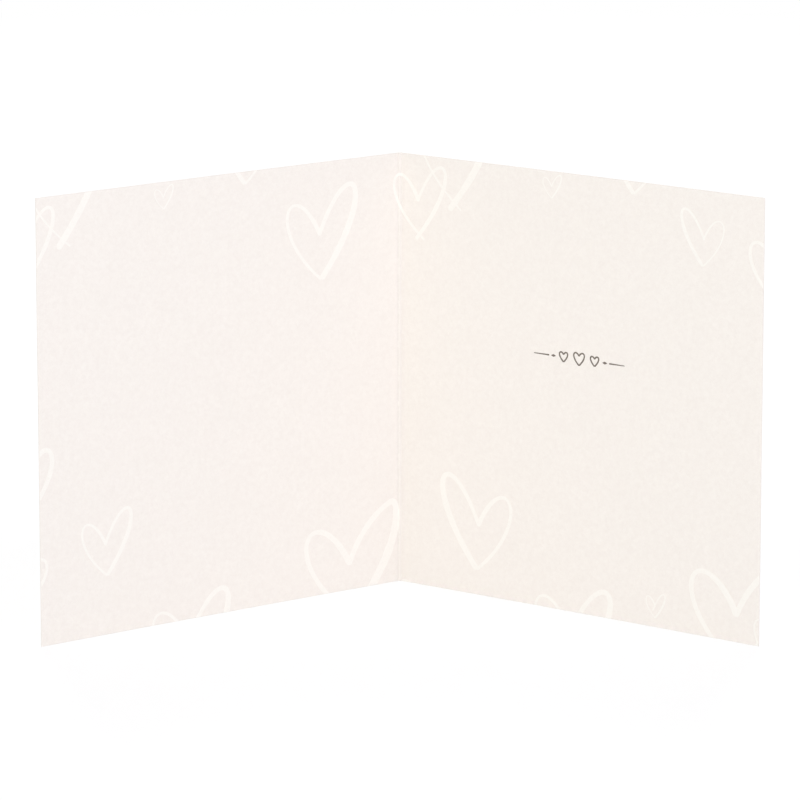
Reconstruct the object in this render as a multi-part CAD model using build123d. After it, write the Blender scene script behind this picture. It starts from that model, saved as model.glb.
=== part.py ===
from build123d import *
import os
from math import cos, radians, sin

# A square greeting card: one sheet of uncoated board, creased and folded once, standing open.
# It stands on its bottom edge at z = 0, centred on the origin. The fold is at the back (+Y), the
# free edges come forward (-Y), and the inside of the card looks towards -Y.
# The sheet is drawn once in plan, as its section seen from above, and carried straight up.

# Driving dimensions, in millimetres and degrees

# The board as cut: two equal panels, side by side
panel_width = 150.0
panel_height = 150.0
board_thickness = 0.40

# How it stands: the angle between the two inside faces, and the slight curl of each panel,
# as the distance that its middle bulges out from the straight line between its ends
opening_angle = 104.0
panel_bow = 0.50

# The crease. The plies part and swell into a bead along the inside of the fold, between two fine
# valleys. The outside turns in a soft round back, with the shallow channel that the rule pressed.
bead_half_width = 0.80
bead_height = 0.12
fold_outside_radius = 1.25
channel_width = 0.60
channel_depth = 0.05

# The angle between each panel and the width axis X
panel_turn = radians((180.0 - opening_angle) / 2)


def on_right_panel(along, outward=0.0):
    """Point in plan at a distance along the right panel from the inside corner, and out from it."""
    return Vector(
        along * cos(panel_turn) + outward * sin(panel_turn),
        -along * sin(panel_turn) + outward * cos(panel_turn),
    )


def mirrored(point):
    """The same point on the left of the fold."""
    return Vector(-point.X, point.Y)


def inside_face():
    """The bowed inside of the right panel, from the bead's valley to the free edge."""
    middle = on_right_panel((bead_half_width + panel_width) / 2, panel_bow)
    return ThreePointArc(on_right_panel(bead_half_width), middle, on_right_panel(panel_width))


def fold_centre(bow_centre, outside_radius):
    """Centre of the round back, where its circle lies inside the panel's outside circle and touches it."""
    reach = outside_radius - fold_outside_radius
    return Vector(0, bow_centre.Y + (reach**2 - bow_centre.X**2) ** 0.5)


def right_half():
    """Edges of the right half of the section: inside face, cut edge, outside face, half of the back."""
    inside = inside_face()
    bow_centre = inside.arc_center
    outside_radius = inside.radius + board_thickness
    free_inside = inside @ 1
    free_outside = bow_centre + (free_inside - bow_centre).normalized() * outside_radius

    back_centre = fold_centre(bow_centre, outside_radius)
    towards_back = (back_centre - bow_centre).normalized()
    tangent_point = bow_centre + towards_back * outside_radius
    outside_middle = bow_centre + (
        (free_outside - bow_centre).normalized() + towards_back
    ).normalized() * outside_radius
    outside = ThreePointArc(free_outside, outside_middle, tangent_point)

    half_channel = channel_width / 2
    channel_rim = back_centre + Vector(
        half_channel, (fold_outside_radius**2 - half_channel**2) ** 0.5
    )
    back_middle = back_centre + (
        (tangent_point - back_centre).normalized() + (channel_rim - back_centre).normalized()
    ).normalized() * fold_outside_radius
    back = ThreePointArc(tangent_point, back_middle, channel_rim)
    return [inside, Line(free_inside, free_outside), outside, back]


def section():
    """The whole sheet in plan, closed by the bead on the inside and the channel on the outside."""
    half = right_half()
    valley = half[0] @ 0
    channel_rim = half[-1] @ 1
    bead = ThreePointArc(mirrored(valley), Vector(0, valley.Y - bead_height), valley)
    channel = ThreePointArc(
        channel_rim, Vector(0, channel_rim.Y - channel_depth), mirrored(channel_rim)
    )
    other_half = [edge.mirror(Plane.YZ) for edge in half]
    return make_face([bead, channel, *half, *other_half])


def card():
    """The sheet carried up to the panels' height and centred over the origin."""
    sheet = extrude(section(), amount=panel_height, dir=(0, 0, 1))
    box = sheet.bounding_box()
    return Pos(-box.center().X, -box.center().Y, -box.min.Z) * sheet


os.makedirs("parts", exist_ok=True)
export_step(card(), "parts/card.step")
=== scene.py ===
"""Looks of a square greeting card that stands open: printed board, raw cut edges, studio and camera.

The sheet's own sizes repeat those of the CAD part, in millimetres.
"""
import logging
from dataclasses import dataclass, replace
from enum import Enum, IntEnum
from typing import Any

import bmesh
import bpy
import numpy as np
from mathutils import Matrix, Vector


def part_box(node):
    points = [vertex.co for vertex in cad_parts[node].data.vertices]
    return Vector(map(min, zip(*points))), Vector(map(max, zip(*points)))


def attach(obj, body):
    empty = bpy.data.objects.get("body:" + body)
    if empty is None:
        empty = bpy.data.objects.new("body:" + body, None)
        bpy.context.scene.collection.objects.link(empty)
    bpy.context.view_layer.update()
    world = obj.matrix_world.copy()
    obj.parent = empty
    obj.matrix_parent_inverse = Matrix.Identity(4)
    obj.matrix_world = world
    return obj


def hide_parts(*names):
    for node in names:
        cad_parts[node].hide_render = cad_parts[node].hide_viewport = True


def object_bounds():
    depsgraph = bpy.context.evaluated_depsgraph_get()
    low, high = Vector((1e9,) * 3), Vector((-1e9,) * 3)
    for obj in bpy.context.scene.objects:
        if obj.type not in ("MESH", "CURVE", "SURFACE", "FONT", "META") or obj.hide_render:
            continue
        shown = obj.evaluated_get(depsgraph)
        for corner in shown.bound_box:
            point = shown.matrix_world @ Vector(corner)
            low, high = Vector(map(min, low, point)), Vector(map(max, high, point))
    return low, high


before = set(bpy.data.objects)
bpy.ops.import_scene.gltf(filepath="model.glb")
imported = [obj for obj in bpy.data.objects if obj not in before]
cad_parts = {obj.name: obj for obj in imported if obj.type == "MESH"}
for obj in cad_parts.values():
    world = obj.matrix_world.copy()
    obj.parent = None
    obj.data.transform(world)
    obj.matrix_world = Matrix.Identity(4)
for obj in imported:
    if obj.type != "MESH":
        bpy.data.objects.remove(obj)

MM = 0.001
WHITE = (1.0, 1.0, 1.0, 1.0)
LOG = logging.getLogger("greeting_card")
CAD_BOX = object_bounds()

Tree = bpy.types.NodeTree
Socket = bpy.types.NodeSocket


class Tall(Enum):
    """Which lobe of a drawn heart is the taller one; the value turns the motif over."""

    RIGHT = 1.0
    LEFT = -1.0


class Spread(Enum):
    """Directions in which a speckle varies; the value is Blender's word for them."""

    ALL_ROUND = "3D"
    UPWARDS = "1D"


class Mix(IntEnum):
    """Sockets of a Mix node when it mixes two colours."""

    SHARE = 0
    BELOW = 6
    ABOVE = 7
    RESULT = 2


def linear(colour: str) -> tuple[float, float, float, float]:
    """Turn an sRGB hex colour into the linear colour that shaders take, by the standard sRGB curve.

    Args:
        colour: six hex digits with a leading hash.

    Returns:
        Red, green, blue and an alpha of one.
    """
    parts = np.array([int(colour[i : i + 2], 16) for i in (1, 3, 5)]) / 255.0
    low = parts / 12.92
    high = ((parts + 0.055) / 1.055) ** 2.4
    return (*np.where(parts <= 0.04045, low, high).tolist(), 1.0)


def add_node(
    tree: Tree, kind: str, inputs: dict[Any, Any] | None = None, **settings: Any
) -> bpy.types.Node:
    """Add a shader node with its settings, values and links.

    Args:
        tree: node tree that gets the node.
        kind: the node's class name after ShaderNode.
        inputs: input name or number, with the value or the output socket that feeds it.
        settings: properties of the node itself.

    Returns:
        The new node.
    """
    node = tree.nodes.new("ShaderNode" + kind)
    for name, value in settings.items():
        setattr(node, name, value)
    for key, value in (inputs or {}).items():
        if isinstance(value, Socket):
            tree.links.new(value, node.inputs[key])
        else:
            node.inputs[key].default_value = value
    return node


def new_material(name: str) -> tuple[bpy.types.Material, Tree, bpy.types.Node]:
    """Make a material with an empty tree and its output.

    Args:
        name: the material's name.

    Returns:
        The material, its node tree and the output node.
    """
    material = bpy.data.materials.new(name)
    material.use_nodes = True
    tree = material.node_tree
    tree.nodes.clear()
    return material, tree, add_node(tree, "OutputMaterial")


def mesh_object(
    name: str, points: np.ndarray, faces: np.ndarray, crease_angle: float = 35.0
) -> bpy.types.Object:
    """Put computed points and faces into a smooth-shaded mesh object that keeps its sharp creases.

    Args:
        name: name of the object and its mesh.
        points: vertex positions in metres, one row each.
        faces: vertex numbers of each face, one row each.
        crease_angle: turn in degrees above which an edge stays sharp.

    Returns:
        The linked object.
    """
    mesh = bpy.data.meshes.new(name)
    mesh.from_pydata(points.tolist(), [], faces.tolist())
    mesh.shade_smooth()
    mesh.set_sharp_from_angle(angle=np.radians(crease_angle))
    mesh.update()
    piece = bpy.data.objects.new(name, mesh)
    bpy.context.scene.collection.objects.link(piece)
    return piece


@dataclass(frozen=True)
class SheetForm:
    """Form of the folded sheet, in millimetres and degrees.

    A place on the sheet is (across, up, lift): the distance along the inside from the middle of the
    fold, negative on the left, the height, and the distance in front of the inside face.
    """

    panel_width: float = 150.0
    panel_height: float = 150.0
    board_thickness: float = 0.40
    opening_angle: float = 104.0
    panel_bow: float = 0.50
    bead_half_width: float = 0.80
    bead_height: float = 0.12
    fold_outside_radius: float = 1.25
    channel_width: float = 0.60
    channel_depth: float = 0.05
    wave_height: float = 0.05
    wave_length: float = 83.0
    wave_fade: float = 9.6
    waves: tuple[tuple[float, float, float, float], ...] = (
        (1.0, 1.0, 0.35, 0.7),
        (1.0, 0.5895, -1.31, 2.1),
        (0.6, 1.52, 1.33, 4.0),
    )

    @property
    def turn(self) -> float:
        """Angle in radians between each panel and the width axis X."""
        return np.radians((180.0 - self.opening_angle) / 2)

    @property
    def bow_radius(self) -> float:
        """Radius of the panel's inside arc: a chord squared over eight bows, and half a bow."""
        chord = self.panel_width - self.bead_half_width
        return chord**2 / (8 * self.panel_bow) + self.panel_bow / 2

    def on_panel(self, along: np.ndarray, outward: np.ndarray) -> np.ndarray:
        """Plan point of the right panel, from distances along it and out from it.

        Args:
            along: distance from the inside corner along the panel.
            outward: distance out from the straight line of the panel.

        Returns:
            X and Y, with the inside corner at the origin, in the last axis.
        """
        x = along * np.cos(self.turn) + outward * np.sin(self.turn)
        y = outward * np.cos(self.turn) - along * np.sin(self.turn)
        return np.stack([x, y], axis=-1)

    def panel_arc(self, distance: np.ndarray, lift: np.ndarray | float) -> np.ndarray:
        """Point on the bowed part of the right panel.

        The arc is swept by an angle that grows evenly with the distance from the bead's valley, and
        lift shortens its radius.

        Args:
            distance: distance from the middle of the fold.
            lift: distance in front of the inside face.

        Returns:
            Plan points.
        """
        chord = self.panel_width - self.bead_half_width
        half_angle = np.arcsin(chord / 2 / self.bow_radius)
        share = (distance - self.bead_half_width) / chord
        theta = (2 * share - 1) * half_angle
        reach = self.bow_radius - lift
        middle = self.bead_half_width + chord / 2
        return self.on_panel(
            middle + reach * np.sin(theta), self.panel_bow - self.bow_radius + reach * np.cos(theta)
        )

    def bead_arc(self, distance: np.ndarray, lift: np.ndarray | float) -> np.ndarray:
        """Point on the right half of the bead: an arc through both valleys and the bead's crest.

        Args:
            distance: distance from the middle of the fold.
            lift: distance in front of the bead.

        Returns:
            Plan points.
        """
        half_chord = self.bead_half_width * np.cos(self.turn)
        radius = half_chord**2 / (2 * self.bead_height) + self.bead_height / 2
        crest = -self.bead_half_width * np.sin(self.turn) - self.bead_height
        psi = distance / self.bead_half_width * np.arcsin(half_chord / radius)
        reach = radius + lift
        return np.stack([reach * np.sin(psi), crest + radius - reach * np.cos(psi)], axis=-1)

    def back_arcs(self, distance: np.ndarray) -> np.ndarray:
        """Point on the right half of the back: panel outside, round fold, then the pressed channel.

        The three arcs share the distance evenly. The round fold's circle lies inside the outside circle
        of the panel and touches it, and its centre is on the middle plane.

        Args:
            distance: distance from the middle of the fold, up to the bead's half width.

        Returns:
            Plan points.
        """
        outside = self.bow_radius + self.board_thickness
        bow_centre = self.panel_arc(np.array(0.0), self.bow_radius)
        drop = np.sqrt((outside - self.fold_outside_radius) ** 2 - bow_centre[0] ** 2)
        centre = np.array([0.0, bow_centre[1] + drop])
        towards = centre - bow_centre
        tangent = np.arctan2(towards[0], towards[1])
        rim = np.arcsin(self.channel_width / 2 / self.fold_outside_radius)
        share = 3 * distance / self.bead_half_width

        fold_angle = rim + (tangent - rim) * np.clip(share - 1, 0, 1)
        fold_way = np.stack([np.sin(fold_angle), np.cos(fold_angle)], axis=-1)
        fold = centre + self.fold_outside_radius * fold_way

        end = self.panel_arc(np.array(self.bead_half_width), -self.board_thickness) - bow_centre
        end_angle = np.arctan2(end[0], end[1])
        panel_angle = tangent + (end_angle - tangent) * np.clip(share - 2, 0, 1)
        panel = bow_centre + outside * np.stack([np.sin(panel_angle), np.cos(panel_angle)], axis=-1)

        half = self.channel_width / 2
        rim_y = centre[1] + self.fold_outside_radius * np.cos(rim)
        across = half * np.clip(share, 0, 1)
        dip = self.channel_depth * (1 - (across / half) ** 2)
        channel = np.stack([across, rim_y - dip], axis=-1)

        place = share[..., None]
        return np.where(place <= 1, channel, np.where(place <= 2, fold, panel))

    @property
    def corner_y(self) -> float:
        """Y of the inside corner, with the whole section centred between its front and its back."""
        free_edge = self.panel_arc(np.array(self.panel_width), 0.0)[1]
        rim = self.back_arcs(np.array(self.bead_half_width / 3))[1]
        return -(free_edge + rim) / 2

    def wave(self, across: np.ndarray, up: np.ndarray) -> np.ndarray:
        """Slow unevenness of the board: three crossed sine waves that die out at the fold.

        Each wave has its share of the height, its number of waves across and up in one wave length, and
        its phase. The fade is one less a bell curve of the distance from the fold.

        Args:
            across: place across the sheet.
            up: height.

        Returns:
            Distance that the board stands forward of its true form.
        """
        k = 2 * np.pi / self.wave_length
        swell = sum(
            share * np.sin(k * (sideways * across + upwards * up) + phase)
            for share, sideways, upwards, phase in self.waves
        )
        fade = 1 - np.exp(-((across / self.wave_fade) ** 2))
        return self.wave_height * fade * swell / sum(share for share, *_ in self.waves)

    def forward(self, across: np.ndarray) -> np.ndarray:
        """Unit plan direction in front of the inside face, on the right or the left panel."""
        step = self.inside_plan(across, 1.0) - self.inside_plan(across, 0.0)
        return step / np.linalg.norm(step, axis=-1, keepdims=True)

    def inside_plan(self, across: np.ndarray, lift: np.ndarray | float) -> np.ndarray:
        """Plan point in front of the inside face, on either side of the fold.

        Args:
            across: place across the sheet.
            lift: distance in front of the inside face.

        Returns:
            X and Y.
        """
        distance = np.abs(across)
        on_bead = (distance < self.bead_half_width)[..., None]
        plan = np.where(on_bead, self.bead_arc(distance, lift), self.panel_arc(distance, lift))
        return plan * np.stack([np.where(across < 0, -1.0, 1.0), np.ones_like(across)], axis=-1)

    def outside_plan(self, across: np.ndarray) -> np.ndarray:
        """Plan point on the outside face, on either side of the fold.

        Args:
            across: place across the sheet.

        Returns:
            X and Y.
        """
        distance = np.abs(across)
        on_back = (distance < self.bead_half_width)[..., None]
        panel = self.panel_arc(distance, -self.board_thickness)
        plan = np.where(on_back, self.back_arcs(distance), panel)
        return plan * np.stack([np.where(across < 0, -1.0, 1.0), np.ones_like(across)], axis=-1)

    def stand(self, plan: np.ndarray, across: np.ndarray, up: np.ndarray) -> np.ndarray:
        """Carry plan points up to their height, in metres, and let them follow the unevenness."""
        moved = plan + self.forward(across) * self.wave(across, up)[..., None]
        return np.stack([moved[..., 0], moved[..., 1] + self.corner_y, up], axis=-1) * MM

    def in_front(self, across: np.ndarray, up: np.ndarray, lift: np.ndarray) -> np.ndarray:
        """Position in metres of a place in front of the inside face."""
        return self.stand(self.inside_plan(across, lift), across, up)


@dataclass(frozen=True)
class Speckle:
    """Random pattern in a finish: its cell in millimetres, and how its noise becomes a level.

    Detail, roughness and distortion are the noise's own. Noise between low and high becomes a level
    between least and most.
    """

    cell: float
    detail: float
    roughness: float
    low: float = 0.0
    high: float = 1.0
    least: float = 0.0
    most: float = 1.0
    distortion: float = 0.0
    spread: Spread = Spread.ALL_ROUND

    def noise(self, tree: Tree, place: Socket) -> Socket:
        """The bare noise.

        Args:
            tree: the material's node tree.
            place: the position, or the height where the speckle varies upwards only.

        Returns:
            Noise from zero to one.
        """
        values = {
            "W" if self.spread is Spread.UPWARDS else "Vector": place,
            "Scale": 1 / (self.cell * MM),
            "Detail": self.detail,
            "Roughness": self.roughness,
            "Distortion": self.distortion,
        }
        return add_node(tree, "TexNoise", values, noise_dimensions=self.spread.value).outputs["Fac"]

    def level(self, tree: Tree, noise: Socket) -> Socket:
        """The noise stretched to its levels.

        Args:
            tree: the material's node tree.
            noise: what the noise method gave.

        Returns:
            Level from least to most.
        """
        values = {
            "Value": noise,
            "From Min": self.low,
            "From Max": self.high,
            "To Min": self.least,
            "To Max": self.most,
        }
        return add_node(tree, "MapRange", values).outputs["Result"]


@dataclass(frozen=True)
class MatteFinish:
    """Matte surface: a ground colour, speckles over it in tints of their own, and a grain in the bump.

    The grain's depth is in millimetres. A surface without a roughness takes it from the grain's level.
    """

    name: str
    ground: str
    tints: tuple[str, ...]
    roughness: float | None
    speckles: tuple[Speckle, ...]
    grain: Speckle
    grain_depth: float
    specular: float

    def marks(self, tree: Tree, place: Socket) -> list[tuple[Socket, str]]:
        """Shares and colours of what has its place on the piece; a plain finish has none."""
        return []

    def material(self) -> bpy.types.Material:
        """Lay the speckles and then the marks over the ground, and join them with the grain.

        Returns:
            The material.
        """
        material, tree, output = new_material(self.name)
        place = add_node(tree, "TexCoord").outputs["Object"]
        shares = (speckle.level(tree, speckle.noise(tree, place)) for speckle in self.speckles)
        colour = linear(self.ground)
        for share, tint in (*zip(shares, self.tints), *self.marks(tree, place)):
            values = {Mix.SHARE: share, Mix.BELOW: colour, Mix.ABOVE: linear(tint)}
            colour = add_node(tree, "Mix", values, data_type="RGBA").outputs[Mix.RESULT]
        grain = self.grain.noise(tree, place)
        bump = add_node(tree, "Bump", {"Height": grain, "Distance": self.grain_depth * MM})
        values = {
            "Base Color": colour,
            "Roughness": self.grain.level(tree, grain) if self.roughness is None else self.roughness,
            "Specular IOR Level": self.specular,
            "Normal": bump.outputs["Normal"],
        }
        shader = add_node(tree, "BsdfPrincipled", values)
        tree.links.new(shader.outputs["BSDF"], output.inputs["Surface"])
        return material


@dataclass(frozen=True)
class ScoreAndShadeLine:
    """Soft line of pressed fibres and painted shade along the fold: middle, half width in millimetres,
    share.
    """

    place: float
    half_width: float
    share: float

    def nodes(self, tree: Tree, sideways: Socket) -> Socket:
        """Ease from the share in the line's middle to nothing a half width away.

        Args:
            tree: the material's node tree.
            sideways: distance from the card's middle, in metres.

        Returns:
            The line's share of the score and painted shade colour.
        """
        offset = add_node(tree, "Math", {0: sideways, 1: self.place * MM}, operation="SUBTRACT")
        away = add_node(tree, "Math", {0: offset.outputs[0]}, operation="ABSOLUTE")
        values = {
            "Value": away.outputs[0],
            "From Max": self.half_width * MM,
            "To Min": self.share,
            "To Max": 0.0,
        }
        return add_node(tree, "MapRange", values, interpolation_type="SMOOTHSTEP").outputs["Result"]


@dataclass(frozen=True)
class BlushBoard(MatteFinish):
    """Uncoated greeting-card board, litho printed all over in a flat blush tint.

    To the eye it is matte and nearly even: a fine mottle where fibres take more or less ink, slow
    clouds, a few pale fibres and a tooth that scatters the light. Along the fold the score's pressed
    fibres show darker, together with painted shade in its valleys and over the bead's lit crest. A
    narrow rim along the cut edges is greyer and less pink. The mottle and the fibres are a few times
    coarser than real ones, which are too fine to show at the picture's scale.
    """

    name: str = "uncoated_blush_board"
    ground: str = "#F6F0EB"
    tints: tuple[str, ...] = ("#FBF6F1", "#F6F0EB", "#FCF8F4")
    roughness: float | None = None
    speckles: tuple[Speckle, ...] = (
        Speckle(1.6, 3.0, 0.9, low=0.35, high=0.65),
        Speckle(9.0, 2.0, 0.5, low=0.35, high=0.65, most=0.2),
        Speckle(0.7, 5.0, 0.7, low=0.55, high=0.72, most=0.6, distortion=1.6),
    )
    grain: Speckle = Speckle(0.35, 3.0, 0.65, low=0.3, high=0.7, least=0.83, most=0.93)
    grain_depth: float = 0.012
    specular: float = 0.35
    # painted shade in the fold's valleys and over the bead's lit crest, with the pressed score
    score_and_shade_colour: str = "#E3DBD7"
    left_valley_shade: ScoreAndShadeLine = ScoreAndShadeLine(-0.55, 0.60, 0.30)
    ridge_shade: ScoreAndShadeLine = ScoreAndShadeLine(0.28, 0.50, 0.21)
    right_valley_shade: ScoreAndShadeLine = ScoreAndShadeLine(0.95, 1.10, 0.08)
    streaks: Speckle = Speckle(5.0, 3.0, 0.7, low=0.3, high=0.6, least=0.35, spread=Spread.UPWARDS)
    rim_colour: str = "#F0ECE8"
    rim_width: float = 0.35
    rim_share: float = 0.45

    def marks(self, tree: Tree, place: Socket) -> list[tuple[Socket, str]]:
        """The score with its painted shade, and the greyer rim.

        Args:
            tree: the material's node tree.
            place: the position.

        Returns:
            Share and colour of each.
        """
        axes = add_node(tree, "SeparateXYZ", {"Vector": place}).outputs
        return [
            # painted shade of the fold together with the pressed score, then the greyer rim
            (self.score_and_shade(tree, axes["X"], axes["Z"]), self.score_and_shade_colour),
            (self.rim(tree, axes["X"], axes["Z"]), self.rim_colour),
        ]

    def score_and_shade(self, tree: Tree, sideways: Socket, height: Socket) -> Socket:
        """Pressed score and painted shade: a streaky line in the left valley, faint ones right of it.

        Args:
            tree: the material's node tree.
            sideways: distance from the card's middle.
            height: height up the card.

        Returns:
            Share of the score and painted shade colour.
        """
        # painted shade: streaky in the left valley, fainter over the bead's crest and the right valley
        streaky = self.streaks.level(tree, self.streaks.noise(tree, height))
        valley_shade = self.left_valley_shade.nodes(tree, sideways)
        pressed_and_shade = add_node(tree, "Math", {0: valley_shade, 1: streaky}, operation="MULTIPLY")
        for line in (self.ridge_shade, self.right_valley_shade):
            both = {0: pressed_and_shade.outputs[0], 1: line.nodes(tree, sideways)}
            pressed_and_shade = add_node(tree, "Math", both, operation="ADD")
        return pressed_and_shade.outputs[0]

    def rim(self, tree: Tree, sideways: Socket, height: Socket) -> Socket:
        """Greyer rim: a share that falls off with the distance from the nearest cut edge.

        Args:
            tree: the material's node tree.
            sideways: distance from the card's middle.
            height: height up the card.

        Returns:
            Share of the rim's colour.
        """
        corner = CAD_BOX[1]
        away = add_node(tree, "Math", {0: sideways}, operation="ABSOLUTE")
        side = add_node(tree, "Math", {0: corner[0], 1: away.outputs[0]}, operation="SUBTRACT")
        top = add_node(tree, "Math", {0: corner[2], 1: height}, operation="SUBTRACT")
        ends = add_node(tree, "Math", {0: top.outputs[0], 1: height}, operation="MINIMUM")
        nearest = add_node(tree, "Math", {0: side.outputs[0], 1: ends.outputs[0]}, operation="MINIMUM")
        values = {
            "Value": nearest.outputs[0],
            "From Max": self.rim_width * MM,
            "To Min": self.rim_share,
            "To Max": 0.0,
        }
        return add_node(tree, "MapRange", values).outputs["Result"]


@dataclass(frozen=True)
class CutEdge(MatteFinish):
    """Guillotined edge of the same board: the bare, paler core with fine, darker fibre ends."""

    name: str = "raw_cut_board_edge"
    ground: str = "#FAF6F1"
    tints: tuple[str, ...] = ("#E9E2DB",)
    roughness: float | None = 0.95
    speckles: tuple[Speckle, ...] = (Speckle(0.12, 4.0, 0.7),)
    grain: Speckle = Speckle(0.12, 4.0, 0.7)
    grain_depth: float = 0.02
    specular: float = 0.3


@dataclass(frozen=True)
class PrintInk(MatteFinish):
    """Matte screen ink on uncoated board.

    To the eye it is flatter than the board and slightly chalky: where the tooth is deep the cover thins
    and the stroke lets a little of the board through. The thin places are coarser than the real tooth,
    so that they show.
    """

    speckles: tuple[Speckle, ...] = (Speckle(0.8, 4.0, 0.75, low=0.48, high=0.66),)
    grain: Speckle = Speckle(0.35, 3.0, 0.65)
    grain_depth: float = 0.008
    specular: float = 0.4


@dataclass
class FoldedSheet:
    """The card itself: one creased sheet, swept from its closed section and given softened arrises."""

    form: SheetForm
    face: BlushBoard = BlushBoard()
    edge: CutEdge = CutEdge()
    cell: float = 2.0
    fold_cells: int = 12
    arris: float = 0.05
    arris_segments: int = 2
    arris_angle: float = 75.0

    def stations(self) -> np.ndarray:
        """Places across the sheet: even cells on the panels and fine ones over the bead.

        Returns:
            Places from the left free edge to the right one.
        """
        bead, width = self.form.bead_half_width, self.form.panel_width
        cells = round((width - bead) / self.cell)
        panel = np.linspace(bead, width, cells + 1)
        fold = np.linspace(0, bead, self.fold_cells, endpoint=False)
        half = np.concatenate([fold, panel])
        return np.concatenate([-half[:0:-1], half])

    def build(self) -> bpy.types.Object:
        """Sweep the closed section up the card and close its top and bottom.

        The section's loop runs along the inside from left to right and back along the outside, so its
        two short steps are the free cut edges.

        Returns:
            The sheet's object.
        """
        form = self.form
        across = self.stations()
        rows = round(form.panel_height / self.cell) + 1
        up = np.linspace(0, form.panel_height, rows)
        ring = 2 * len(across)
        loop_across = np.concatenate([across, across[::-1]])
        plan = np.concatenate([form.inside_plan(across, 0.0), form.outside_plan(across[::-1])])
        grid_across, grid_up = np.meshgrid(loop_across, up)
        points = form.stand(np.broadcast_to(plan, (rows, ring, 2)), grid_across, grid_up)

        row, step = np.meshgrid(np.arange(rows - 1), np.arange(ring), indexing="ij")
        low, high, after = row * ring, (row + 1) * ring, (step + 1) % ring
        walls = np.stack([low + step, low + after, high + after, high + step], axis=-1).reshape(-1, 4)
        inner = np.arange(len(across) - 1)
        outer = ring - 1 - inner
        foot = np.stack([inner, outer, outer - 1, inner + 1], axis=-1)
        head = foot[:, ::-1] + (rows - 1) * ring
        faces = np.concatenate([walls, foot, head])
        sheet = mesh_object("card_sheet", points.reshape(-1, 3), faces)

        free_steps = ((step == len(across) - 1) | (step == ring - 1)).ravel()
        raw = np.concatenate([free_steps, np.ones(2 * len(inner), bool)])
        for finish in (self.face, self.edge):
            sheet.data.materials.append(finish.material())
        sheet.data.polygons.foreach_set("material_index", raw.astype(np.int32))

        bevel = sheet.modifiers.new("softened_arris", "BEVEL")
        bevel.width = self.arris * MM
        bevel.segments = self.arris_segments
        bevel.limit_method = "ANGLE"
        bevel.angle_limit = np.radians(self.arris_angle)
        bevel.harden_normals = True
        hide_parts("card")
        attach(sheet, "root")
        return sheet


@dataclass(frozen=True)
class Heart:
    """One printed heart, in millimetres and degrees: where its tip is on the sheet and how it is drawn.

    The stroke over the tall lobe and the one over the short lobe start a lead before the cleft, so that
    they cross there as hand-drawn ones do, and run a tail past the tip. The short weight is the second
    stroke's weight beside the first one's, and a pointed heart has a tall lobe that turns sharply.
    """

    across: float
    up: float
    height: float
    tall: Tall = Tall.RIGHT
    lean: float = 0.0
    spread: float = 1.0
    weight: float = 1.0
    short_weight: float = 1.0
    leads: tuple[float, float] = (0.6, 0.6)
    tails: tuple[float, float] = (0.0, 0.0)
    pointed: bool = False


@dataclass(frozen=True)
class HeartMotif:
    """The drawn heart, one unit tall with its tip at the origin: two halves from cleft to tip.

    The right half goes over the tall lobe and the left half over the short one. Each is one cubic curve
    with two pulls, or two curves that meet in a crest: two pulls, the crest and two pulls. The weights
    are the stroke's width along each half, as shares of the heart's height. A curve has that many
    samples, and each sample's width is softened over some neighbours on both sides.
    """

    cleft: tuple[float, float] = (-0.02, 0.49)
    tall_pulls: tuple[tuple[float, float], ...] = ((0.37, 1.39), (0.815, 0.97))
    short_pulls: tuple[tuple[float, float], ...] = ((-0.37, 1.22), (-0.78, 0.63))
    tall_weights: tuple[float, ...] = (0.047, 0.051, 0.052, 0.067, 0.079, 0.066)
    short_weights: tuple[float, ...] = (0.058, 0.044, 0.035, 0.042, 0.040, 0.035)
    samples: int = 240
    neighbours: int = 20

    def half(self, tall: bool) -> tuple[np.ndarray, np.ndarray]:
        """Centre line of one half and the stroke's width along it.

        The line is one or two cubic Bezier curves, and the width runs smoothly through the weights.

        Args:
            tall: whether this is the half with the tall lobe.

        Returns:
            Points and widths, in heights of the heart.
        """
        pulls = self.tall_pulls if tall else self.short_pulls
        weights = self.tall_weights if tall else self.short_weights
        stops = np.array([self.cleft, *pulls, (0.0, 0.0)])
        t = np.linspace(0, 1, self.samples)[:, None]
        shares = np.stack([(1 - t) ** 3, 3 * (1 - t) ** 2 * t, 3 * (1 - t) * t**2, t**3])
        curves = [stops[first : first + 4, None] for first in range(0, len(stops) - 1, 3)]
        line = np.concatenate([(shares * curve).sum(axis=0) for curve in curves])
        width = np.interp(np.linspace(0, 1, len(line)), np.linspace(0, 1, len(weights)), weights)
        padded = np.pad(width, self.neighbours, mode="edge")
        soft = np.hanning(2 * self.neighbours + 1)
        return line, np.convolve(padded, soft / soft.sum(), mode="valid")

    def strokes(self, heart: Heart) -> list[tuple[np.ndarray, np.ndarray]]:
        """The two strokes of a placed heart.

        The motif is turned over, spread and scaled. Each stroke goes on straight over its lead and its
        tail, and the heart is then leant about its tip and moved to its place.

        Args:
            heart: the heart.

        Returns:
            Centre line and width in sheet millimetres, for the tall half and the short half.
        """
        lean = np.radians(heart.lean)
        turn = np.array([[np.cos(lean), -np.sin(lean)], [np.sin(lean), np.cos(lean)]])
        strokes = []
        halves = zip((True, False), (1.0, heart.short_weight), heart.leads, heart.tails)
        for tall, weight, lead, tail in halves:
            line, width = self.half(tall)
            line = line * [heart.tall.value * heart.spread, 1.0] * heart.height
            before, after = line[0] - line[1], line[-1] - line[-2]
            start = line[0] + before / np.linalg.norm(before) * lead
            end = line[-1] + after / np.linalg.norm(after) * tail
            line = np.concatenate([[start], line, [end]])
            width = np.pad(width, 1, mode="edge") * heart.height * heart.weight * weight
            strokes.append((line @ turn + [heart.across, heart.up], width))
        return strokes


@dataclass(frozen=True)
class Ribbon:
    """A stroke of ink: centre line and half width in sheet millimetres, and order of printing."""

    line: np.ndarray
    half_width: np.ndarray
    order: int = 0


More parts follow.
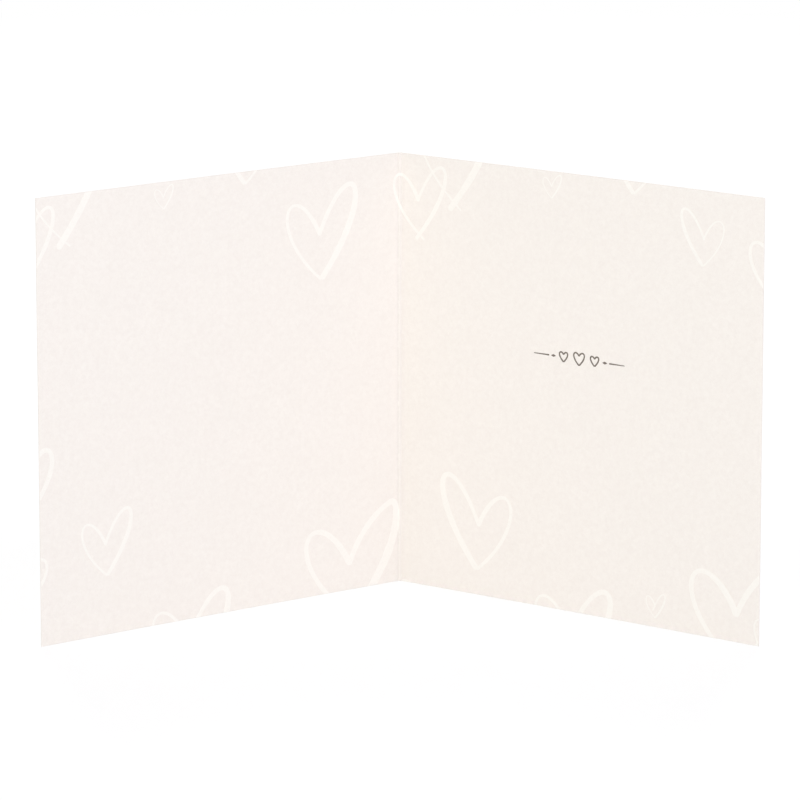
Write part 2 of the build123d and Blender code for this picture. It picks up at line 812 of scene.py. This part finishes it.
@dataclass
class InkLayer:
    """Flat strokes, cut off at the sheet's edges and laid on it as thin closed films; in millimetres.

    A stroke has a point at each spacing, and its round ends have steps of their own. The films take
    turns at a few heights, a step apart, so that those that cross don't share a plane. Points nearer
    than the same-point distance are one, and edges shorter than the shortest edge are closed up.
    """

    form: SheetForm
    spacing: float = 0.4
    fewest_points: int = 8
    end_steps: int = 6
    edge_inset: float = 0.06
    film_height: float = 0.030
    film_step: float = 0.006
    films: int = 4
    bottom: float = -0.05
    fold_scores: int = 9
    same_point: float = 1e-6
    shortest_edge: float = 1e-3

    def band(self, ribbon: Ribbon) -> tuple[np.ndarray, np.ndarray]:
        """Band with round ends along a line.

        The line is taken at even steps of its length, and at each end the half width follows a quarter
        circle. The band's two borders stand off the line along its normal, on either side of it.

        Args:
            ribbon: the stroke.

        Returns:
            Points with their lift as the third number, and faces.
        """
        steps = np.linalg.norm(np.diff(ribbon.line, axis=0), axis=1)
        kept = np.concatenate([[True], steps > 0])
        given, widths = ribbon.line[kept], ribbon.half_width[kept]
        length = np.concatenate([[0.0], np.cumsum(steps[steps > 0])])
        total = length[-1]
        first, last = widths[0], widths[-1]
        quarter = np.linspace(0, np.pi / 2, self.end_steps + 1)
        body = np.linspace(first, total - last, max(int(total / self.spacing), self.fewest_points))
        head, tail = first * (1 - np.cos(quarter[:-1])), total - last * (1 - np.sin(quarter[1:]))
        at = np.concatenate([head, body, tail])
        line = np.stack([np.interp(at, length, given[:, k]) for k in range(2)], axis=-1)
        into = np.clip(np.minimum(at / first, (total - at) / last), 0, 1)
        half = np.interp(at, length, widths) * np.sqrt(1 - (1 - into) ** 2)
        heading = np.gradient(line, axis=0)
        heading /= np.linalg.norm(heading, axis=1, keepdims=True)
        side = np.stack([-heading[:, 1], heading[:, 0]], axis=-1)
        lanes = np.array([1.0, 0.0, -1.0])
        flat = line[:, None] + side[:, None] * lanes[None, :, None] * half[:, None, None]
        lift = self.film_height + self.film_step * (ribbon.order % self.films)
        lifts = np.full((*flat.shape[:2], 1), lift)
        row, lane = np.meshgrid(np.arange(len(at) - 1), np.arange(len(lanes) - 1), indexing="ij")
        corner = (row * len(lanes) + lane).ravel()
        beyond = corner + len(lanes)
        faces = np.stack([corner, corner + 1, beyond + 1, beyond], axis=-1)
        return np.concatenate([flat, lifts], axis=-1).reshape(-1, 3), faces

    def cut_flat(self, ribbons: list[Ribbon]) -> tuple[np.ndarray, np.ndarray]:
        """Spread the bands out flat, cut them at the sheet's edges and score them where the fold bends.

        Args:
            ribbons: the strokes.

        Returns:
            Points and triangles of what is left on the sheet.
        """
        bands = [self.band(ribbon) for ribbon in ribbons]
        starts = np.cumsum([0] + [len(points) for points, _ in bands[:-1]])
        points = np.concatenate([points for points, _ in bands])
        faces = np.concatenate([faces + start for start, (_, faces) in zip(starts, bands)])
        flat = bpy.data.meshes.new("flat_ink")
        flat.from_pydata(points.tolist(), [], faces.tolist())

        form, inset = self.form, self.edge_inset
        cutter = bmesh.new()
        cutter.from_mesh(flat)
        bmesh.ops.remove_doubles(cutter, verts=cutter.verts[:], dist=self.same_point)
        limits = (
            ((form.panel_width - inset, 0, 0), (1, 0, 0)),
            ((inset - form.panel_width, 0, 0), (-1, 0, 0)),
            ((0, form.panel_height - inset, 0), (0, 1, 0)),
            ((0, inset, 0), (0, -1, 0)),
        )
        for place, outwards in limits:
            every = cutter.verts[:] + cutter.edges[:] + cutter.faces[:]
            cut = {"plane_co": place, "plane_no": outwards, "clear_outer": True}
            bmesh.ops.bisect_plane(cutter, geom=every, **cut)
        for across in np.linspace(-form.bead_half_width, form.bead_half_width, self.fold_scores):
            every = cutter.verts[:] + cutter.edges[:] + cutter.faces[:]
            bmesh.ops.bisect_plane(cutter, geom=every, plane_co=(across, 0, 0), plane_no=(1, 0, 0))
        bmesh.ops.dissolve_degenerate(cutter, dist=self.shortest_edge, edges=cutter.edges[:])
        bmesh.ops.triangulate(cutter, faces=cutter.faces[:])
        cutter.to_mesh(flat)
        cutter.free()

        places = np.empty(3 * len(flat.vertices))
        corners = np.empty(3 * len(flat.polygons), np.int32)
        flat.vertices.foreach_get("co", places)
        flat.loops.foreach_get("vertex_index", corners)
        bpy.data.meshes.remove(flat)
        return places.reshape(-1, 3), corners.reshape(-1, 3)

    def film(self, name: str, ribbons: list[Ribbon], ink: PrintInk) -> bpy.types.Object:
        """Print the strokes as one piece of thin closed films.

        The top is at each point's lift and the bottom just inside the board. The walls stand on the
        edges that only one triangle uses.

        Args:
            name: name of the piece.
            ribbons: the strokes.
            ink: the ink that they are printed in.

        Returns:
            The piece, riding with the card.
        """
        flat, triangles = self.cut_flat(ribbons)
        a, b, c = (flat[triangles[:, k], :2] for k in range(3))
        turned = np.cross(b - a, c - a) < 0
        triangles[turned] = triangles[turned][:, ::-1]
        count = len(flat)
        top = self.form.in_front(flat[:, 0], flat[:, 1], flat[:, 2])
        under = self.form.in_front(flat[:, 0], flat[:, 1], np.full(count, self.bottom))
        borders = np.concatenate([triangles[:, [0, 1]], triangles[:, [1, 2]], triangles[:, [2, 0]]])
        pairs = np.sort(borders, axis=1)
        _, which, uses = np.unique(pairs, axis=0, return_inverse=True, return_counts=True)
        start, end = borders[uses[which.ravel()] == 1].T
        upper = np.stack([end, start, start + count], axis=-1)
        lower = np.stack([end, start + count, end + count], axis=-1)
        faces = np.concatenate([triangles, triangles[:, ::-1] + count, upper, lower])
        piece = mesh_object(name, np.concatenate([top, under]), faces)
        piece.data.materials.append(ink.material())
        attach(piece, "root")
        return piece


@dataclass
class HeartPrint:
    """The scattered outline hearts, printed in white over both inside pages and across the fold.

    The hearts of the repeat come on both pages, one repeat apart, and the others once. The wobble of a
    stroke's border has its counts of waves, and its phase steps on with each heart and each half.
    """

    form: SheetForm
    ink: PrintInk = PrintInk("white_screen_ink", "#FEFBF6", ("#FBF7F2",), 0.6)
    motif: HeartMotif = HeartMotif()
    pointed_motif: HeartMotif = HeartMotif(
        tall_pulls=((0.10, 0.835), (0.355, 0.996), (0.404, 0.996), (0.496, 0.996), (0.50, 0.53)),
        short_pulls=((-0.36, 1.21), (-0.80, 0.66)),
        tall_weights=(0.047, 0.050, 0.045, 0.058, 0.078, 0.066),
    )
    wobble: float = 0.03
    wobble_counts: tuple[int, ...] = (5, 11, 23, 41)
    phase_steps: tuple[float, float] = (2.4, 1.1)
    repeat: float = 162.7
    repeated: tuple[Heart, ...] = (
        Heart(8.4, 122.6, 24.2, weight=0.85, short_weight=1.25, tails=(2.3, 2.8)),
        Heart(23.3, 135.0, 34.5, spread=0.98, weight=0.98, short_weight=0.5, tails=(3.5, 3.7)),
        Heart(64.0, 140.9, 8.1, spread=1.04, lean=0.6, weight=0.95, leads=(0.2, 0.2)),
        Heart(97.5, 145.8, 22.4, Tall.LEFT, lean=0.4),
        Heart(73.2, -23.6, 33.0, spread=1.05, lean=0.7, short_weight=0.75),
        Heart(141.9, -9.3, 38.0, spread=1.13, lean=-0.1, weight=1.14, pointed=True),
    )
    single: tuple[Heart, ...] = (
        Heart(-33.5, 109.9, 31.9, weight=1.02, short_weight=0.9),
        Heart(-155.1, 45.2, 25.0, Tall.LEFT, lean=-1.1, spread=0.94, weight=1.7),
        Heart(-123.2, 20.2, 22.1, lean=-0.3, weight=0.94),
        Heart(-158.3, 13.9, 19.5, Tall.LEFT, lean=4.2, spread=1.13, weight=1.4),
        Heart(33.2, 8.9, 32.1, Tall.LEFT),
        Heart(107.9, 3.2, 8.6, lean=0.8, weight=1.1, leads=(2.1, 0.3)),
        Heart(125.8, 124.7, 18.8, Tall.LEFT, lean=-0.6, weight=0.85, short_weight=0.75),
        Heart(156.2, 115.2, 24.1, spread=1.08, lean=-0.3, weight=1.16),
        Heart(154.6, -5.6, 17.1, lean=5.8, weight=0.85),
        Heart(11.5, -23.4, 24.0, Tall.LEFT),
    )

    def ribbons(self, heart: Heart, number: int) -> list[Ribbon]:
        """The two strokes of one heart as ribbons.

        A small wobble of sines, each a whole number of waves along the stroke, roughens its border.

        Args:
            heart: the heart.
            number: its place in the order of printing, which also sets its wobble.

        Returns:
            A ribbon for the tall half and one for the short half.
        """
        motif = self.pointed_motif if heart.pointed else self.motif
        ribbons = []
        for half, (line, width) in enumerate(motif.strokes(heart)):
            turns = 2 * np.pi * np.linspace(0, 1, len(line))
            phase = np.dot(self.phase_steps, (number, half))
            waves = sum(np.sin(count * (turns + phase)) for count in self.wobble_counts)
            ribbons.append(Ribbon(line, width / 2 * (1 + self.wobble * waves), 2 * number + half))
        return ribbons

    def build(self) -> bpy.types.Object:
        """Print every heart.

        Returns:
            The piece with all the white strokes.
        """
        shifted = tuple(replace(heart, across=heart.across - self.repeat) for heart in self.repeated)
        hearts = enumerate(self.repeated + shifted + self.single)
        ribbons = [ribbon for number, heart in hearts for ribbon in self.ribbons(heart, number)]
        return InkLayer(self.form).film("heart_print", ribbons, self.ink)


@dataclass
class PageOrnament:
    """Fine-line ornament in grey on the right-hand page: hearts between lozenges and rules."""

    form: SheetForm
    ink: PrintInk = PrintInk("warm_grey_ink", "#756C64", ("#857B73",), 0.62)
    motif: HeartMotif = HeartMotif(
        cleft=(0.0, 0.72),
        tall_pulls=((0.22, 1.26), (1.0, 0.92)),
        short_pulls=((-0.22, 1.26), (-1.0, 0.92)),
        tall_weights=(1.0, 1.0),
        short_weights=(1.0, 1.0),
    )
    across: float = 75.7
    up: float = 87.4
    width: float = 37.5
    line_width: float = 0.52
    heart_heights: tuple[float, ...] = (3.4, 4.4, 3.4)
    heart_pitch: float = 6.4
    lozenge_length: float = 1.9
    lozenge_height: float = 1.0
    lozenge_place: float = 10.6
    lozenge_taper: tuple[float, ...] = (0.1, 1.0, 0.1)
    rule_length: float = 6.4
    rule_end: float = 0.5
    rule_points: int = 20
    spacing: float = 0.25

    def level_ribbon(self, start: float, end: float, half_width: np.ndarray) -> Ribbon:
        """Straight level stroke between two distances from the ornament's middle."""
        x = self.across + np.linspace(start, end, len(half_width))
        return Ribbon(np.stack([x, np.full_like(x, self.up)], axis=-1), half_width)

    def hearts(self) -> list[Ribbon]:
        """The row of small outline hearts, each centred on the ornament's line.

        Returns:
            Two ribbons for each heart.
        """
        middle = (len(self.heart_heights) - 1) / 2
        ribbons = []
        for number, height in enumerate(self.heart_heights):
            across, tip = self.across + (number - middle) * self.heart_pitch, self.up - height / 2
            heart = Heart(across, tip, height, weight=self.line_width / height, leads=(0.0, 0.0))
            for half, (line, width) in enumerate(self.motif.strokes(heart)):
                ribbons.append(Ribbon(line, width / 2, half))
        return ribbons

    def build(self) -> bpy.types.Object:
        """Print the ornament.

        A lozenge's half width rises and falls in a straight line, and a rule's narrows evenly to its
        outer end.

        Returns:
            The piece with the grey ornament.
        """
        ribbons = self.hearts()
        taper = np.array(self.lozenge_taper) * self.lozenge_height / 2
        rule = np.linspace(1.0, self.rule_end, self.rule_points) * self.line_width / 2
        outer, reach = self.width / 2, self.lozenge_length / 2
        for side in (-1.0, 1.0):
            place = side * self.lozenge_place
            ribbons.append(self.level_ribbon(place - reach, place + reach, taper))
            ribbons.append(self.level_ribbon(side * (outer - self.rule_length), side * outer, rule))
        layer = InkLayer(self.form, spacing=self.spacing)
        return layer.film("page_ornament", ribbons, self.ink)


@dataclass(frozen=True)
class SoftBox:
    """Square soft lamp: where it hangs and its side, in metres, its power in watts and its colour."""

    name: str
    place: tuple[float, float, float]
    power: float
    colour: str
    size: float = 1.6

    def hang(self, aim: Vector) -> bpy.types.Object:
        """Hang the lamp, facing a point.

        Args:
            aim: the point that it faces.

        Returns:
            The lamp.
        """
        data = bpy.data.lights.new(self.name, "AREA")
        data.shape = "SQUARE"
        data.size = self.size
        data.energy = self.power
        data.color = linear(self.colour)[:3]
        lamp = bpy.data.objects.new(self.name, data)
        lamp.location = self.place
        lamp.rotation_mode = "QUATERNION"
        lamp.rotation_quaternion = (aim - Vector(self.place)).to_track_quat("-Z", "Y")
        bpy.context.scene.collection.objects.link(lamp)
        return lamp


@dataclass
class Studio:
    """Pale floor, white surround, soft lamps and the camera, in metres and degrees.

    The floor's glow for a background ray has its strength and its share at the near distance, and full
    white at the far one.
    """

    aim: Vector
    lamps: tuple[SoftBox, ...] = (
        SoftBox("key_soft_box", (1.3, -1.9, 1.9), 17.5, "#F5F4FE"),
        SoftBox("fill_soft_box", (-1.3, -1.9, 1.9), 13.5, "#FFFFED"),
        SoftBox("back_soft_box", (0.0, 2.3, 1.6), 18.5, "#FFFFFF"),
    )
    camera_distance: float = 1.85
    camera_azimuth: float = 0.11
    camera_elevation: float = 11.79
    camera_clip: tuple[float, float] = (0.05, 50.0)
    lens: float = 248.25
    sensor: float = 36.0
    target: tuple[float, float, float] = (0.0, 0.0, 0.07347)
    floor_size: float = 12.0
    floor_colour: str = "#F6F6F8"
    near: float = 0.35
    far: float = 1.5
    glow_share: float = 0.55
    glow_strength: float = 1.08
    world_level: float = 0.736

    def background_ray(self, tree: Tree) -> Socket:
        """One where the camera, a reflection or a see-through surface looks at the background.

        Args:
            tree: node tree of the floor or the surround.

        Returns:
            The output that is one for such a ray, and zero for any other.
        """
        path = add_node(tree, "LightPath").outputs
        both = {0: path["Is Glossy Ray"], 1: path["Is Transmission Ray"]}
        indirect = add_node(tree, "Math", both, operation="MAXIMUM").outputs[0]
        either = {0: path["Is Camera Ray"], 1: indirect}
        return add_node(tree, "Math", either, operation="MAXIMUM").outputs[0]

    def floor(self) -> bpy.types.Object:
        """Large pale floor at the card's foot, shown white where no shadow falls.

        Its share of glow grows with the distance from the card, so that it ends in the white surround
        with no horizon.

        Returns:
            The floor.
        """
        half = self.floor_size / 2
        corners = np.array([[-half, -half, 0], [half, -half, 0], [half, half, 0], [-half, half, 0]])
        floor = mesh_object("studio_floor", corners, np.array([[0, 1, 2, 3]]))
        material, tree, output = new_material("white_paper_sweep")
        diffuse = add_node(tree, "BsdfDiffuse", {"Color": linear(self.floor_colour)})
        place = add_node(tree, "TexCoord").outputs["Object"]
        away = add_node(tree, "VectorMath", {0: place}, operation="LENGTH").outputs["Value"]
        reach = {"Value": away, "From Min": self.near, "From Max": self.far}
        strength = add_node(tree, "MapRange", {**reach, "To Min": self.glow_strength, "To Max": 1.0})
        share = add_node(tree, "MapRange", {**reach, "To Min": self.glow_share, "To Max": 1.0})
        glow = add_node(tree, "Emission", {"Color": WHITE, "Strength": strength.outputs["Result"]})
        both = {0: self.background_ray(tree), 1: share.outputs["Result"]}
        seen = add_node(tree, "Math", both, operation="MULTIPLY")
        shaders = {0: seen.outputs[0], 1: diffuse.outputs["BSDF"], 2: glow.outputs["Emission"]}
        mixed = add_node(tree, "MixShader", shaders)
        tree.links.new(mixed.outputs["Shader"], output.inputs["Surface"])
        floor.data.materials.append(material)
        return floor

    def world(self) -> None:
        """Even white surround: plain light for the card, and pure white where the camera sees it."""
        world = bpy.data.worlds.new("studio_world")
        world.use_nodes = True
        tree = world.node_tree
        tree.nodes.clear()
        light = add_node(tree, "Background", {"Color": WHITE, "Strength": self.world_level})
        white = add_node(tree, "Background", {"Color": WHITE, "Strength": 1.0})
        shades = {0: self.background_ray(tree), 1: light.outputs[0], 2: white.outputs[0]}
        mixed = add_node(tree, "MixShader", shades)
        output = add_node(tree, "OutputWorld")
        tree.links.new(mixed.outputs["Shader"], output.inputs["Surface"])
        bpy.context.scene.world = world

    def camera(self) -> bpy.types.Object:
        """Long lens straight in front of the fold, a little above the card.

        Returns:
            The camera.
        """
        azimuth, elevation = np.radians([self.camera_azimuth, self.camera_elevation])
        level = np.cos(elevation)
        back = Vector((-np.sin(azimuth) * level, -np.cos(azimuth) * level, np.sin(elevation)))
        data = bpy.data.cameras.new("camera")
        data.lens = self.lens
        data.sensor_width = self.sensor
        data.clip_start, data.clip_end = self.camera_clip
        camera = bpy.data.objects.new("camera", data)
        camera.location = Vector(self.target) + back * self.camera_distance
        camera.rotation_mode = "QUATERNION"
        camera.rotation_quaternion = (-back).to_track_quat("-Z", "Y")
        bpy.context.scene.collection.objects.link(camera)
        bpy.context.scene.camera = camera
        return camera

    def build(self) -> None:
        """Set up the whole studio."""
        self.floor()
        self.world()
        for lamp in self.lamps:
            lamp.hang(self.aim)
        self.camera()
        bpy.context.scene.view_settings.view_transform = "Standard"


def main() -> None:
    """Build the sheet, its print and the studio, and report each piece."""
    logging.basicConfig(level=logging.INFO, format="%(name)s: %(message)s")
    form = SheetForm()
    low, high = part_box("card")
    LOG.info("card solid from %s to %s", tuple(low), tuple(high))
    for builder in (FoldedSheet(form), HeartPrint(form), PageOrnament(form)):
        piece = builder.build()
        LOG.info("%s: %d faces", piece.name, len(piece.data.polygons))
    Studio(aim=(low + high) / 2).build()


if __name__ == "__main__":
    main()
